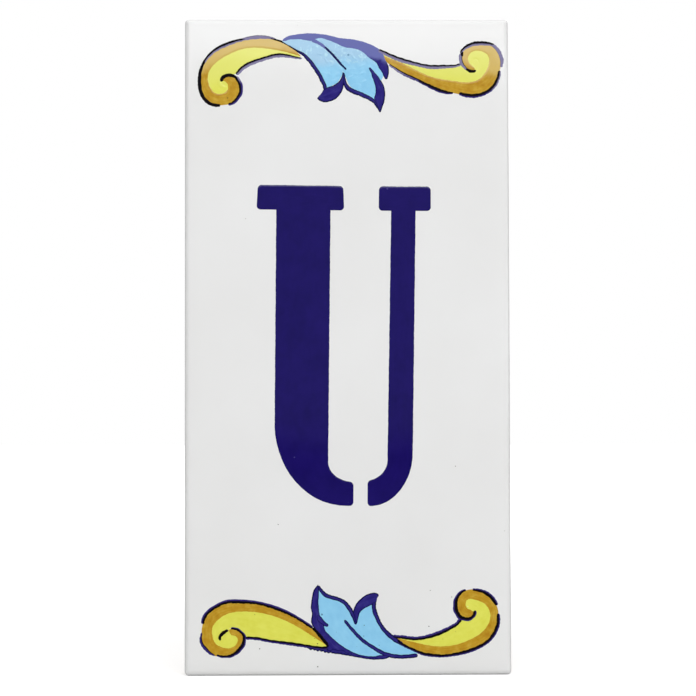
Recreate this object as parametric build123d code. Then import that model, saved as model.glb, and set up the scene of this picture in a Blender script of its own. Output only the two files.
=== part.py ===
from build123d import *
import math
import os

os.makedirs("parts", exist_ok=True)

# Sizes are in millimetres. X runs to the right, Z up the letter, and the face looks to -Y.
# The back lies in the plane y = 0, where the tile is bedded on its wall.

# Pressed clay body
tile_width = 74.0
tile_height = 149.4
tile_depth = 7.0
corner_radius = 0.9
pillow_radius = 1.2
back_ease = 0.5

# Keys pressed into the back for the bed of adhesive
key_columns = 6
key_rows = 12
key_border = 4.0
key_rib = 1.6
key_depth = 0.8
key_draft = 25

# Painted enamel that stands a little proud of the glaze
film = 0.12
line_film = 0.16
line_width = 0.8
crumb = 2.0

# Stencilled slab letter: thick and thin stems, flat serifs and a bowl parted by the stencil's bridge
cap_height = 72.8
serif_depth = 5.3
thick_stem = (-16.3, -4.2)
thick_serif = (-20.3, -0.9)
thin_stem = (9.6, 15.1)
thin_serif = (7.3, 19.0)
bridge = (1.2, 4.6)
bowl_floor = 5.4
thick_bowl = (16.3, 19.1)
thin_bowl = (9.4, 11.8)
thick_crotch = (4.2, 4.1)
thin_crotch = (3.9, 4.1)
letter_lean = 0.5
letter_round = 0.8

# Ornament: one scroll-and-leaf motif, painted along the foot and, turned round, along the head.
# Points are millimetres across from the tile's middle and in from its short edge.
tail = (-6.6, 7.4)
shoulder = (-9.0, 10.7)
long_side = (-34.0, 11.8)
long_back = [shoulder, (-14.0, 13.6), (-19.5, 16.0), (-25.0, 17.1), (-29.5, 16.9), (-32.8, 14.9), long_side]
long_joint = (-24.8, 9.5)
long_belly = [tail, (-10.5, 7.7), (-14.5, 8.7), (-19.0, 9.7), long_joint]
long_volute = [long_joint, (-25.2, 7.4), (-26.9, 5.6), (-29.4, 4.9), (-32.0, 5.5), (-33.9, 7.6), long_side]
long_eye = (-27.9, 11.3)
long_curl = [long_joint, (-25.4, 10.5), (-26.6, 11.2), long_eye]
long_light = [tail, (-13.0, 11.1), (-19.5, 13.8), (-27.0, 14.3)]
long_light += [(-31.3, 10.6), (-29.2, 7.0), (-26.5, 8.4), long_eye]

thorn = (10.7, 8.7)
short_joint = (25.3, 12.9)
short_top = [thorn, (13.2, 8.3), (16.0, 8.2), (20.0, 9.4), (23.6, 11.2), short_joint]
short_side = (33.8, 12.6)
short_volute = [short_joint, (24.2, 15.8), (25.2, 18.5), (28.3, 19.8), (31.4, 18.6), (33.4, 15.7), short_side]
short_back = [short_side, (32.6, 9.4), (29.7, 6.8), (25.5, 5.0), (20.5, 4.3), (15.5, 5.4), thorn]
short_eye = (28.7, 14.2)
short_curl = [short_joint, (26.4, 12.7), (27.8, 12.9), short_eye]
short_light = [(14.4, 8.2), (20.5, 6.6), (27.2, 8.0), (31.7, 12.6), (29.6, 16.9), (27.1, 15.7), short_eye]

leaf_tip = (-7.1, 21.0)
leaf_end = (15.2, 4.6)
leaf_shade = [leaf_tip, (-8.2, 18.8), (-8.5, 16.0), (-8.3, 13.2), shoulder]
leaf_hook = (-4.8, 11.2)
leaf_inside = [leaf_hook, (-5.9, 13.1), (-6.5, 15.6), leaf_tip]
leaf_foot = [tail, (-4.0, 5.4), (0.0, 4.5), (5.0, 3.6), (9.5, 3.5), leaf_end]
leaf_fold = [leaf_end, (9.5, 4.7), (5.0, 4.6), (0.5, 6.1), (-3.5, 8.2), (-5.5, 10.5), leaf_hook]
leaf_line = [leaf_tip, (-5.2, 18.4), (-1.7, 16.9), (0.3, 15.3), (1.1, 13.0)]
lobe_notch = (1.3, 11.9)
lobe_tip = (6.8, 18.2)
lobe_back = [(0.9, 15.1), (2.3, 17.4), (4.6, 18.7), lobe_tip]
lobe_front = [lobe_tip, (5.8, 16.6), (4.0, 15.4), (2.3, 14.1), lobe_notch]
lobe_line = [(5.9, 17.4), (5.5, 15.6), (6.3, 13.0), (8.2, 10.2), thorn]
midrib = [(-0.4, 12.0), (2.4, 8.9), (5.3, 6.3), (9.8, 4.3)]
leaf_field = [leaf_tip, (-7.4, 16.0), (-6.6, 11.5), (-3.8, 7.3), (0.0, 5.2), (6.0, 4.1), leaf_end]
lobe_field = [leaf_end, (13.0, 6.6), thorn, (8.2, 10.2), (6.3, 13.0), (5.6, 16.2)]
lobe_cleft = (1.2, 14.4)
lobe_edge = [lobe_field[-1], (3.6, 15.9), lobe_cleft]


def section(span):
    """The tile cut straight across: a flat back with eased edges and a front with pillowed edges."""
    half = span / 2
    turn_height = pillow_radius - tile_depth
    side = Polyline((0, 0), (half - back_ease, 0), (half, -back_ease), (half, turn_height))
    turn = CenterArc((half - pillow_radius, turn_height), pillow_radius, start_angle=270, arc_size=90)
    front = Line(turn @ 0, (0, -tile_depth))
    outline = side + turn + front
    return make_face(outline + mirror(outline, Plane.YZ))


def field(*pieces):
    """A field of colour inside smooth curves that are joined end to end."""
    return make_face([Spline(*piece) for piece in pieces])


def brush(points, width=line_width, start=0.0, stop=1.0, ends=0.7):
    """A brush stroke along a smooth curve: full in its middle and drawn in to blunt points."""
    path = Spline(*points).edge().trim(start, stop)
    count = max(4, round(path.length / 7))
    left = []
    right = []
    for k in range(count):
        t = k / (count - 1)
        half = width / 2 * (ends + (1 - ends) * math.sin(math.pi * t))
        across = (path % t).rotate(Axis.Z, 90) * half
        left.append(path @ t + across)
        right.append(path @ t - across)
    cap = width / 2 * ends
    nose = Polyline(left[-1], path @ 1 + (path % 1) * cap, right[-1])
    heel = Polyline(right[0], path @ 0 - (path % 0) * cap, left[0])
    return make_face([Spline(*left), nose, Spline(*right), heel])


def backward(points):
    """The same curve run from its other end."""
    return points[::-1]


def quarter(centre, radii, start):
    """A quarter of an ellipse of the letter's bowl."""
    return EllipticalCenterArc(centre, radii[0], radii[1], start_angle=start, arc_size=90)


def bowl(left, right, floor, left_radii, right_radii):
    """A U-shaped field: straight sides from the letter's top, and a rounded floor."""
    top = cap_height / 2
    left_turn = quarter((left + left_radii[0], floor + left_radii[1]), left_radii, 180)
    right_turn = quarter((right - right_radii[0], floor + right_radii[1]), right_radii, 270)
    ends = Polyline(right_turn @ 1, (right, top), (left, top), left_turn @ 0)
    return make_face(left_turn + Line(left_turn @ 1, right_turn @ 0) + right_turn + ends)


# Clay body: the long section, the short section and the plan outline, each run through the others
body = Pos(0, 0, -tile_height / 2) * extrude(section(tile_width), amount=tile_height)
body &= Rot(0, 90, 0) * Pos(0, 0, -tile_width / 2) * extrude(section(tile_height), amount=tile_width)
body &= extrude(Plane.XZ * RectangleRounded(tile_width, tile_height, corner_radius), amount=tile_depth)

# Drafted keys between the ribs of the back
pitch_x = (tile_width - 2 * key_border + key_rib) / key_columns
pitch_z = (tile_height - 2 * key_border + key_rib) / key_rows
mouth = Rectangle(pitch_x - key_rib, pitch_z - key_rib)
key = extrude(mouth, amount=key_depth, taper=key_draft)
body -= [place * key for place in Plane.XZ * GridLocations(pitch_x, pitch_z, key_columns, key_rows)]
tile = body

# Letter: an outer bowl less an inner one, parted by the bridge, with a slab on each stem
foot = -cap_height / 2
outer = bowl(thick_stem[0], thin_stem[1], foot, thick_bowl, thin_bowl)
inner = bowl(thick_stem[1], thin_stem[0], foot + bowl_floor, thick_crotch, thin_crotch)
gap = Pos((bridge[0] + bridge[1]) / 2, foot) * Rectangle(bridge[1] - bridge[0], 3 * bowl_floor)
stems = outer - inner - gap
for serif in (thick_serif, thin_serif):
    slab = Rectangle(serif[1] - serif[0], serif_depth)
    stems += Pos((serif[0] + serif[1]) / 2, (cap_height - serif_depth) / 2) * slab
corner_lines = thick_serif + thin_serif + bridge
corners = [v for v in stems.vertices() if min(abs(v.X - x) for x in corner_lines) < 0.001]
letter_face = Rot(0, 0, -letter_lean) * fillet(corners, letter_round)

# Ornament: bodies of the scrolls, their light sides, the leaf, and the strokes that draw them
long_body = field(long_back, backward(long_volute), backward(long_belly), [tail, shoulder])
long_bright = field(long_light, backward(long_curl), backward(long_belly))
short_body = field(short_top, short_volute, short_back)
short_bright = field(short_light, backward(short_curl), backward(short_top)[:-2] + [short_light[0]])
bodies = long_body + short_body
bright = (long_bright & long_body) + (short_bright & short_body)

outlines = brush(long_back, start=0.0, stop=0.97) + brush(long_belly) + brush([shoulder, tail])
outlines += brush(long_volute, start=0.0, stop=0.55)
outlines += brush(long_volute, start=0.6, stop=0.93)
outlines += brush(long_curl)
outlines += brush(short_top) + brush(short_back)
outlines += brush(short_volute, start=0.0, stop=0.4)
outlines += brush(short_volute, start=0.48, stop=0.9)
outlines += brush(short_curl)

violet = field(leaf_shade, [shoulder, tail], leaf_foot, leaf_fold, leaf_inside)
violet += field(lobe_back, lobe_front, [lobe_notch, lobe_back[0]])
violet += brush(leaf_line, width=1.0, ends=0.35) + brush(lobe_line, width=1.0) + brush(midrib, ends=0.4)
violet -= outlines
leaf = field(leaf_field, lobe_field, lobe_edge, backward(leaf_line[:-1] + [lobe_cleft]))
leaf = leaf - violet - outlines - bodies
bright = bright - violet - outlines
shade = bodies - bright - violet - outlines
shade = Sketch() + [patch for patch in shade.faces() if patch.area > crumb]


def enamel(sketch, thickness):
    """A film of enamel laid on the tile's face."""
    return extrude(Plane.XZ.offset(tile_depth) * sketch, amount=thickness)


def both_ends(motif, thickness):
    """The motif along the foot of the tile and, turned round, along its head."""
    low = Pos(0, -tile_height / 2) * motif
    return enamel(low, thickness) + enamel(Rot(0, 0, 180) * low, thickness)


nodes = {
    "tile": tile,
    "letter": enamel(letter_face, film),
    "scroll_yellow": both_ends(bright, film),
    "scroll_ochre": both_ends(shade, film),
    "leaf_blue": both_ends(leaf, film),
    "leaf_violet": both_ends(violet, film),
    "dark_outline": both_ends(outlines, line_film),
}
for name, shape in nodes.items():
    export_step(shape, f"parts/{name}.step")
    print(name, len(shape.solids()), "solids", round(shape.volume, 2), "mm3")
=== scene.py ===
# %% [markdown]
# # A painted letter tile
# The object is one fired piece: a pressed clay slab under white glaze, with a stencilled capital and
# a scroll-and-leaf motif painted at its foot and, turned round, at its head. The CAD model gives its
# size and its frame: X runs to the right, Z up the letter, the face looks to -Y and the back is at
# y = 0. This lesson makes each layer again as a smooth surface and gives it a fired finish.

# %% Load the CAD frame
import math
import bpy
import numpy as np
from mathutils import Matrix, Vector


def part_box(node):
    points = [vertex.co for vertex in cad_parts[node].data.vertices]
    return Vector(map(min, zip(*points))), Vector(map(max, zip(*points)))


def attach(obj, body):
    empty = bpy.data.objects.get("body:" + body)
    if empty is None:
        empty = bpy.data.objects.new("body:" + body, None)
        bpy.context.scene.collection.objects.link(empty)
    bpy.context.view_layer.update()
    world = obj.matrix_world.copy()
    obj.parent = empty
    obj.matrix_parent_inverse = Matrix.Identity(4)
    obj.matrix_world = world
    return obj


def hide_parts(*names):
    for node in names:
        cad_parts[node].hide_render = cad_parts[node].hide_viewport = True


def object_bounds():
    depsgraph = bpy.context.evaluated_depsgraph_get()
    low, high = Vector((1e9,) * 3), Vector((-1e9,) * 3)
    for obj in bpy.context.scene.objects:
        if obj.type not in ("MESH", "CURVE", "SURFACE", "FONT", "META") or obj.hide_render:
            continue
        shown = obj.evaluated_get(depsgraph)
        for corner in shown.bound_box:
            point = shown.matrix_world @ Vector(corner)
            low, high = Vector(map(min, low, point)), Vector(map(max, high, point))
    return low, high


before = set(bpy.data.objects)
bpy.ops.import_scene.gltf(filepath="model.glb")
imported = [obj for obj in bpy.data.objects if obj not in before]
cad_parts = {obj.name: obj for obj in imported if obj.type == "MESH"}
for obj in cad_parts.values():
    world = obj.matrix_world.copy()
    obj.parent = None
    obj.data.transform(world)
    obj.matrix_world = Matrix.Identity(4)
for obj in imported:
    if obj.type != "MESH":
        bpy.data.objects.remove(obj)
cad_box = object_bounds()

MM = 0.001
print("CAD box in metres:", [list(c) for c in cad_box])

# %% [markdown]
# ## The glazed face
# A pressed tile is never quite flat. The die leaves a soft turn along the four front edges, and the
# melted glaze settles in waves of a few hundredths of a millimetre, which is what makes reflections
# on a real tile wander. The face could be a flat plane with a bump map, but the painted layers have
# to lie on it, so its height is one function that the clay and the paint both use.

# %% Height of the glaze over the back
tile_low, tile_high = (np.array(c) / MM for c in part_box("tile"))
HALF_W = (tile_high[0] - tile_low[0]) / 2
HALF_H = (tile_high[2] - tile_low[2]) / 2
DEPTH = tile_high[1] - tile_low[1]
# In millimetres: the corners' radius in plan, the radius of the turned edge, the fall and the run of the
# shoulder inside it, and for the waves the room under the full depth and the run over which they start.
CORNER, PILLOW = 0.9, 1.2
SHOULDER, SHOULDER_RUN = 0.34, 3.4
WAVE_ROOM, WAVE_RUN = 0.03, 4.0


def edge_distance(x, z):
    """How far a point of the plan lies inside the tile's outline, a rectangle with rounded corners:
    the smaller gap to a side, or near a corner the corner radius less the distance to its centre."""
    in_x = HALF_W - np.abs(x)
    in_z = HALF_H - np.abs(z)
    over_x = np.clip(CORNER - in_x, 0, None)
    over_z = np.clip(CORNER - in_z, 0, None)
    near_corner = CORNER - np.hypot(over_x, over_z)
    return np.where((over_x > 0) & (over_z > 0), near_corner, np.minimum(in_x, in_z))


def glaze_height(x, z):
    """Full depth less a quarter circle along the edges and a gentle shoulder inside it, with three slow
    waves of the melted glaze."""
    inside = edge_distance(x, z)
    rise = PILLOW - np.clip(inside, 0, PILLOW)
    fall = SHOULDER * (1 - np.clip(inside / SHOULDER_RUN, 0, 1)) ** 2
    turn = PILLOW - np.sqrt(PILLOW**2 - rise**2) + fall
    wave = 0.010 * np.sin(x / 8.7 + 0.7 * np.sin(z / 17.0)) + 0.008 * np.sin(z / 11.3 + 1.9)
    wave = wave + 0.006 * np.sin((x + z) / 5.9 + 0.4)
    return DEPTH - WAVE_ROOM - turn + wave * np.clip(inside / WAVE_RUN, 0, 1)


print("tile in mm:", [round(float(v), 3) for v in (2 * HALF_W, 2 * HALF_H, DEPTH)])

# %% [markdown]
# ## The clay slab
# The slab has a glazed front, straight sides and a back pressed into rows of shallow keys that hold
# the adhesive. A cube with bevels would do for the outline, but not for the keys and the waves. Here
# front and back are height fields on one shared grid of lines, and rows of points run round the
# outline to join them, so that the slab is a single closed skin.

# %% Grid lines that the front and the back share
KEYS_ACROSS, KEYS_UP = 6, 12
KEY_BORDER, KEY_RIB, KEY_DEEP = 4.0, 1.6, 0.8
KEY_RUN = KEY_DEEP * math.tan(math.radians(25))
LIP_ROLL, FLOOR_ROLL = 0.12, 0.25
CORNER_ZONE = 4.0
EDGE_LINES = np.array([1.6, 2.2, 3.0, CORNER_ZONE])
LINE_RATE, LEAST_GAP = 0.8, 0.02


def key_pitch(half, count):
    """From one key to the next: the width inside the border, and one rib more, shared out."""
    return (2 * half - 2 * KEY_BORDER + KEY_RIB) / count


def key_lines(half, count):
    """The lines of a row of keys: both lips, a little roll next to each lip, and both floor edges."""
    pitch = key_pitch(half, count)
    start = -half + KEY_BORDER + pitch * np.arange(count)
    stop = start + pitch - KEY_RIB
    runs = np.array([0.0, LIP_ROLL, KEY_RUN, KEY_RUN + FLOOR_ROLL])
    return np.concatenate([(start[:, None] + runs).ravel(), (stop[:, None] - runs).ravel()])


def grid_lines(half, count):
    """Key lines, close lines over the turned edge, and an even spread in between. A line that lies
    all but on the one before it is left out."""
    turn = half - PILLOW * (1 - np.cos(np.linspace(0, math.pi / 2, 8)))
    zone = half - EDGE_LINES
    even = np.linspace(-half + CORNER_ZONE, half - CORNER_ZONE, int(half / LINE_RATE))
    lines = np.concatenate([key_lines(half, count), turn, -turn, zone, -zone, even])
    lines = np.unique(np.round(lines, 4))
    return lines[np.append(True, np.diff(lines) > LEAST_GAP)]


x_lines = grid_lines(HALF_W, KEYS_ACROSS)
z_lines = grid_lines(HALF_H, KEYS_UP)
print("grid lines:", len(x_lines), "across,", len(z_lines), "up")

# %% Plan of the grid with its corners drawn in


def round_corners(x, z, half_x, half_z, radius):
    """Draws the grid in at its four corners: inside each corner square a point keeps its direction
    from the square's inner corner, and its distance shrinks by the ratio of the rounded edge to the
    square edge along that direction."""
    a = (np.abs(x) - (half_x - CORNER_ZONE)) / CORNER_ZONE
    b = (np.abs(z) - (half_z - CORNER_ZONE)) / CORNER_ZONE
    inside = (a > 0) & (b > 0)
    a, b = np.where(inside, a, 1.0), np.where(inside, b, 1e-9)
    reach = np.hypot(a, b)
    c, s = a / reach, b / reach
    rho = radius / CORNER_ZONE
    k = 1 - rho
    square = 1 / np.maximum(c, s)
    arc = k * (c + s) + np.sqrt(np.clip(k * k * (c + s) ** 2 - (2 * k * k - rho * rho), 0, None))
    shrink = np.where(square * np.minimum(c, s) > k, arc / square, 1.0)
    new_x = np.sign(x) * (half_x - CORNER_ZONE + a * shrink * CORNER_ZONE)
    new_z = np.sign(z) * (half_z - CORNER_ZONE + b * shrink * CORNER_ZONE)
    return np.where(inside, new_x, x), np.where(inside, new_z, z)


def key_sink(lines, half, count):
    """Depth that one row of keys would have along one direction: a ramp down from each lip."""
    pitch = key_pitch(half, count)
    along = lines + half - KEY_BORDER
    cell = np.clip(np.floor(along / pitch), 0, count - 1)
    gap = np.minimum(along - cell * pitch, cell * pitch + pitch - KEY_RIB - along)
    ramp = np.clip(gap / KEY_RUN, 0, 1)
    return KEY_DEEP * (0.25 * ramp + 0.75 * ramp * ramp * (3 - 2 * ramp))


gx, gz = np.meshgrid(x_lines, z_lines, indexing="ij")
front_x, front_z = round_corners(gx, gz, HALF_W, HALF_H, CORNER)
front_y = -glaze_height(front_x, front_z)
print("front from", round(front_y.min(), 3), "to", round(front_y.max(), 3), "mm")

# %% Back and sides of the slab
EASE, EASE_ROLL = 0.5, 0.15
SIDE_ROWS, LOWEST_ROW = 9, -1.4


def ease_in(values, half):
    """Squeezes the outer corner zone so that the back is smaller by the eased edge all round."""
    zone = np.clip(np.abs(values) - (half - CORNER_ZONE), 0, None)
    return np.sign(values) * (np.abs(values) - zone * EASE / CORNER_ZONE)


back_x, back_z = ease_in(front_x, HALF_W), ease_in(front_z, HALF_H)
sink_x = key_sink(x_lines, HALF_W, KEYS_ACROSS)
sink_z = key_sink(z_lines, HALF_H, KEYS_UP)
back_y = -np.minimum(sink_x[:, None], sink_z[None, :])


def rim(grid):
    """The outer points of a grid in one loop, starting up the left side."""
    return np.concatenate([grid[0, :], grid[1:, -1], grid[-1, -2::-1], grid[-2:0:-1, 0]])


side_levels = np.linspace(PILLOW - DEPTH + WAVE_ROOM, LOWEST_ROW, SIDE_ROWS)[1:]
side_levels = np.append(side_levels, [-EASE - EASE_ROLL, -EASE])
side_x = np.tile(rim(front_x), (len(side_levels), 1))
side_z = np.tile(rim(front_z), (len(side_levels), 1))
side_y = np.repeat(side_levels[:, None], side_x.shape[1], axis=1)
print("rows round the sides:", side_y.shape)

# %% From arrays to a mesh
SHARP_TURN = math.radians(70)


def grid_quads(index):
    """Quads of a grid of point numbers, turned so that rows x columns face -Y for an x by z grid."""
    corners = (index[:-1, :-1], index[1:, :-1], index[1:, 1:], index[:-1, 1:])
    return np.stack([c.ravel() for c in corners], axis=1)


def put_mesh(name, points, quads, uv=None, rim_gap=None):
    """A mesh object from arrays of points in millimetres and of quads, smooth except over sharp turns.
    A film also has a brush map and, at each point, its distance from the film's edge."""
    mesh = bpy.data.meshes.new(name)
    mesh.vertices.add(len(points))
    mesh.vertices.foreach_set("co", (points * MM).ravel())
    mesh.loops.add(quads.size)
    mesh.loops.foreach_set("vertex_index", quads.ravel().astype(np.int32))
    mesh.polygons.add(len(quads))
    mesh.polygons.foreach_set("loop_start", np.arange(0, quads.size, 4, dtype=np.int32))
    mesh.polygons.foreach_set("use_smooth", np.ones(len(quads), dtype=bool))
    if uv is not None:
        layer = mesh.uv_layers.new(name="Brush")
        layer.data.foreach_set("uv", uv[quads.ravel()].ravel())
        mesh.attributes.new("Rim", "FLOAT", "POINT").data.foreach_set("value", rim_gap)
    mesh.update(calc_edges=True)
    mesh.validate()
    mesh.set_sharp_from_angle(angle=SHARP_TURN)
    piece = bpy.data.objects.new(name, mesh)
    bpy.context.scene.collection.objects.link(piece)
    return piece


print("quads of a grid of 3 by 4 points:", len(grid_quads(np.arange(12).reshape(3, 4))))

# %% The slab as one closed skin
shape = front_x.shape
front_index = np.arange(front_x.size).reshape(shape)
side_index = front_x.size + np.arange(side_x.size).reshape(side_x.shape)
back_index = front_x.size + side_x.size + np.arange(front_x.size).reshape(shape)
loops = np.concatenate([rim(front_index)[None], side_index, rim(back_index)[None]])
loops = np.concatenate([loops, loops[:, :1]], axis=1)
slab_quads = [grid_quads(front_index), grid_quads(loops.T), grid_quads(back_index)[:, ::-1]]
slab_quads = np.concatenate(slab_quads)
xs = np.concatenate([front_x.ravel(), side_x.ravel(), back_x.ravel()])
ys = np.concatenate([front_y.ravel(), side_y.ravel(), back_y.ravel()])
zs = np.concatenate([front_z.ravel(), side_z.ravel(), back_z.ravel()])
slab = put_mesh("glazed_slab", np.stack([xs, ys, zs], axis=1), slab_quads)
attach(slab, "root")
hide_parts("tile")
print("slab:", len(slab.data.vertices), "points,", len(slab.data.polygons), "faces")

# %% [markdown]
# ## How a brush lays enamel
# Each painted shape is a thin film that stands a little over the glaze, thick in its middle and
# rounded off to nothing at its edge. A flat decal would lose that edge, which catches light. So a
# film is a ruled surface: two edge curves run side by side, s goes along them and t goes across
# from one to the other, and the height over the glaze depends on the distance to the nearest edge.
# A brush stroke is the same thing with its two edges set off from a centre line.

# %% Smooth curves through points


def smooth_curve(knots, values, where):
    """Natural cubic spline: a cubic on each span, with slope and curvature carried on into the next."""
    gap = np.diff(knots)
    inner = np.arange(1, len(knots) - 1)
    system = np.eye(len(knots))
    system[inner, inner - 1] = gap[:-1]
    system[inner, inner] = 2 * (gap[:-1] + gap[1:])
    system[inner, inner + 1] = gap[1:]
    wanted = np.zeros_like(values)
    wanted[1:-1] = 6 * np.diff(np.diff(values, axis=0) / gap[:, None], axis=0)
    bend = np.linalg.solve(system, wanted)
    span = np.clip(np.searchsorted(knots, where, side="right") - 1, 0, len(knots) - 2)
    a = ((knots[span + 1] - where) / gap[span])[:, None]
    b = 1 - a
    curved = ((a**3 - a) * bend[span] + (b**3 - b) * bend[span + 1]) * gap[span][:, None] ** 2 / 6
    return a * values[span] + b * values[span + 1] + curved


def run_length(points):
    """Distance along a row of points, starting at nothing."""
    return np.append(0.0, np.cumsum(np.hypot(*np.diff(points, axis=0).T)))


def across(points):
    """The direction to the left of a row of points, one unit long at each."""
    along = np.gradient(points, axis=0)
    along = along / np.maximum(np.hypot(*along.T), 1e-9)[:, None]
    return np.stack([-along[:, 1], along[:, 0]], axis=1)


def unsteady(length, seed, size):
    """The wander of a hand: waves of three lengths whose phases are drawn from a seed."""
    phase = np.random.default_rng(seed).uniform(0, 2 * math.pi, 3)
    waves = np.sin(length / 0.31 + phase[0]) * 0.4 + np.sin(length / 0.13 + phase[1]) * 0.35
    return size * (waves + np.sin(length / 1.4 + phase[2]) * 0.5)


between = smooth_curve(np.arange(3.0), np.eye(3)[:, :2], np.array([0.5]))
print("spline through three points, between the first two:", between.round(3))

# %% A film of enamel between two edges
SUNK = 0.06


def distance_to(points, outline):
    """Distance from each point to the nearest side of a closed outline: the point is dropped onto each
    side, held between its two ends, and the shortest of those distances is kept."""
    side = np.roll(outline, -1, axis=0) - outline
    away = points[:, None] - outline[None]
    share = np.clip((away * side).sum(2) / np.maximum((side**2).sum(1), 1e-12), 0, 1)
    return np.hypot(*np.moveaxis(away - share[..., None] * side, 2, 0)).min(axis=1)


def film(one, other, height, lip, rows=13, bare="right", lean=0.0, ends=True, outline=None):
    """P(s, t) = (1 - t) one(s) + t other(s). Over the glaze it stands height times a half parabola of
    the distance to the nearest edge, up to the lip's width. The underside lies just below the glaze.
    Where several films make one shape, the distance is taken to the outline of the whole shape.
    Returns points, quads, a brush map of millimetres along and share across, and the distances. The
    share rises towards the bare side, and lean adds to it everywhere."""
    middle = run_length((one + other) / 2)
    t = (1 - np.cos(np.linspace(0, math.pi, rows))) / 2
    plan = one[:, None] * (1 - t)[None, :, None] + other[:, None] * t[None, :, None]
    width = np.hypot(*(other - one).T)
    gap = np.minimum(t, 1 - t)[None, :] * width[:, None]
    if ends:
        gap = np.minimum(gap, np.minimum(middle, middle[-1] - middle)[:, None])
    if outline is not None:
        gap = distance_to(plan.reshape(-1, 2), outline).reshape(gap.shape)
    rounded = 1 - (1 - np.clip(gap / lip, 0, 1)) ** 2
    glaze = glaze_height(plan[..., 0], plan[..., 1])
    top = np.stack([plan[..., 0], -(glaze + height * rounded), plan[..., 1]], axis=2)
    under = np.stack([plan[..., 0], -(glaze - SUNK), plan[..., 1]], axis=2)
    top_index = np.arange(gap.size).reshape(gap.shape)
    low_index = top_index + gap.size
    sheets = [grid_quads(top_index), grid_quads(low_index)[:, ::-1]]
    for a, b in (
        (low_index[:, 0], top_index[:, 0]),
        (top_index[:, -1], low_index[:, -1]),
        (top_index[0], low_index[0]),
        (low_index[-1], top_index[-1]),
    ):
        sheets.append(grid_quads(np.stack([a, b], axis=1)))
    quads = np.concatenate(sheets)
    along_s, along_t = (np.gradient(plan, axis=k).reshape(-1, 2) for k in (0, 1))
    if np.cross(along_s, along_t).sum() < 0:
        quads = quads[:, ::-1]
    share = {"left": 1 - t + lean, "right": t + lean, None: 0 * t}[bare]
    brush = np.stack([np.repeat(middle[:, None], rows, 1), np.tile(share, (len(middle), 1))], axis=2)
    points = np.concatenate([top.reshape(-1, 3), under.reshape(-1, 3)])
    return points, quads, np.tile(brush.reshape(-1, 2), (2, 1)), np.tile(gap.ravel(), 2)


bar = np.array([(0.0, 0.0), (5.0, 0.0), (10.0, 0.0)])
print("points and quads of a bar of enamel:", [len(part) for part in film(bar, bar + [0, 2], 0.02, 0.25)[:2]])

# %% Brush strokes
STROKE_LIP, STROKE_STEP, STROKE_HAND = 0.2, 0.2, 0.06


def stroke(points, widths, height, seed=0, bare=None, lean=0.0, hand=STROKE_HAND):
    """A brush stroke: left and right edges at half the width from a smooth centre line, with round ends.
    The width is spread evenly along the stroke and shrinks as a half circle over each end."""
    points = np.array(points, float)
    knots = run_length(points)
    total = knots[-1]
    cap = 0.5 * np.array([widths[0], widths[-1]])
    turn = 1 - np.cos(np.linspace(0, math.pi / 2, 6))
    even = np.linspace(cap[0], total - cap[1], max(4, int(total / STROKE_STEP)))[1:-1]
    where = np.concatenate([turn * cap[0], even, total - turn[::-1] * cap[1]])
    centre = smooth_curve(knots, points, where)
    half = 0.5 * np.interp(where / total, np.linspace(0, 1, len(widths)), widths)
    half = half + unsteady(where, seed, hand) * np.clip(half / 0.3, 0, 1)
    near = np.minimum(where / cap[0], (total - where) / cap[1])
    half = half * np.sqrt(np.clip(1 - (1 - np.clip(near, 0, 1)) ** 2, 1e-4, 1))
    centre = centre + across(centre) * unsteady(where, seed + 50, hand * 0.8)[:, None]
    side = across(centre) * half[:, None]
    sides = centre + side, centre - side
    return film(*sides, height, STROKE_LIP, rows=11, bare=bare, lean=lean, ends=False)


print("points of one stroke:", len(stroke([(0, 0), (3, 1), (6, 0)], [0.4, 0.8, 0.4], 0.05)[0]))

# %% Fields of colour at both ends of the tile
FIELD_LIP, FIELD_STEP, FIELD_HAND, STEADY_END = 0.25, 0.25, 0.05, 1.5


def field(stations, height, seed):
    """A field of colour: each station gives a point of one edge and its partner on the other. The hand
    is steady at both ends, so that the two edges meet there."""
    stations = np.array(stations, float)
    knots = (run_length(stations[:, :2]) + run_length(stations[:, 2:])) / 2
    where = np.linspace(0, knots[-1], max(12, int(knots[-1] / FIELD_STEP)))
    edges = smooth_curve(knots, stations, where)
    fade = np.clip(np.minimum(where, knots[-1] - where) / STEADY_END, 0, 1)[:, None]
    one, other = edges[:, :2], edges[:, 2:]
    one = one + across(one) * unsteady(where, seed, FIELD_HAND)[:, None] * fade
    other = other + across(other) * unsteady(where, seed + 90, FIELD_HAND)[:, None] * fade
    return film(one, other, height, FIELD_LIP)


def lay(points, head):
    """Motif points measured in from a short edge: the foot keeps them, the head has them turned round."""
    points = np.array(points, float)
    turned = points.reshape(-1, 2) - [0, HALF_H]
    return (-turned if head else turned).reshape(points.shape)


def fields(foot, head, heights, seed):
    """The fields at the foot and then at the head. Their seeds count up and their heights take turns."""
    rows = [(stations, False) for stations in foot] + [(stations, True) for stations in head]
    return [field(lay(stations, at_head), heights[k % len(heights)], seed + k)
            for k, (stations, at_head) in enumerate(rows)]


print("5 mm in at the foot and at the head:", lay([(0, 5)], False).round(2), lay([(0, 5)], True).round(2))

# %% From films to a piece


def gather(name, parts, node):
    """Joins films into one piece that stands for a CAD node."""
    starts = np.cumsum([0] + [len(p[0]) for p in parts[:-1]])
    points = np.concatenate([p[0] for p in parts])
    quads = np.concatenate([p[1] + start for p, start in zip(parts, starts)])
    brush, rim_gap = (np.concatenate([p[k] for p in parts]) for k in (2, 3))
    piece = put_mesh(name, points, quads, brush, rim_gap)
    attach(piece, "root")
    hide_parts(node)
    print(name, len(parts), "films,", len(quads), "faces, highest", round(-points[:, 1].min(), 3), "mm")
    return piece


print("a film lies at most", round(1000 * SUNK), "thousandths of a millimetre in the glaze")

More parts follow.
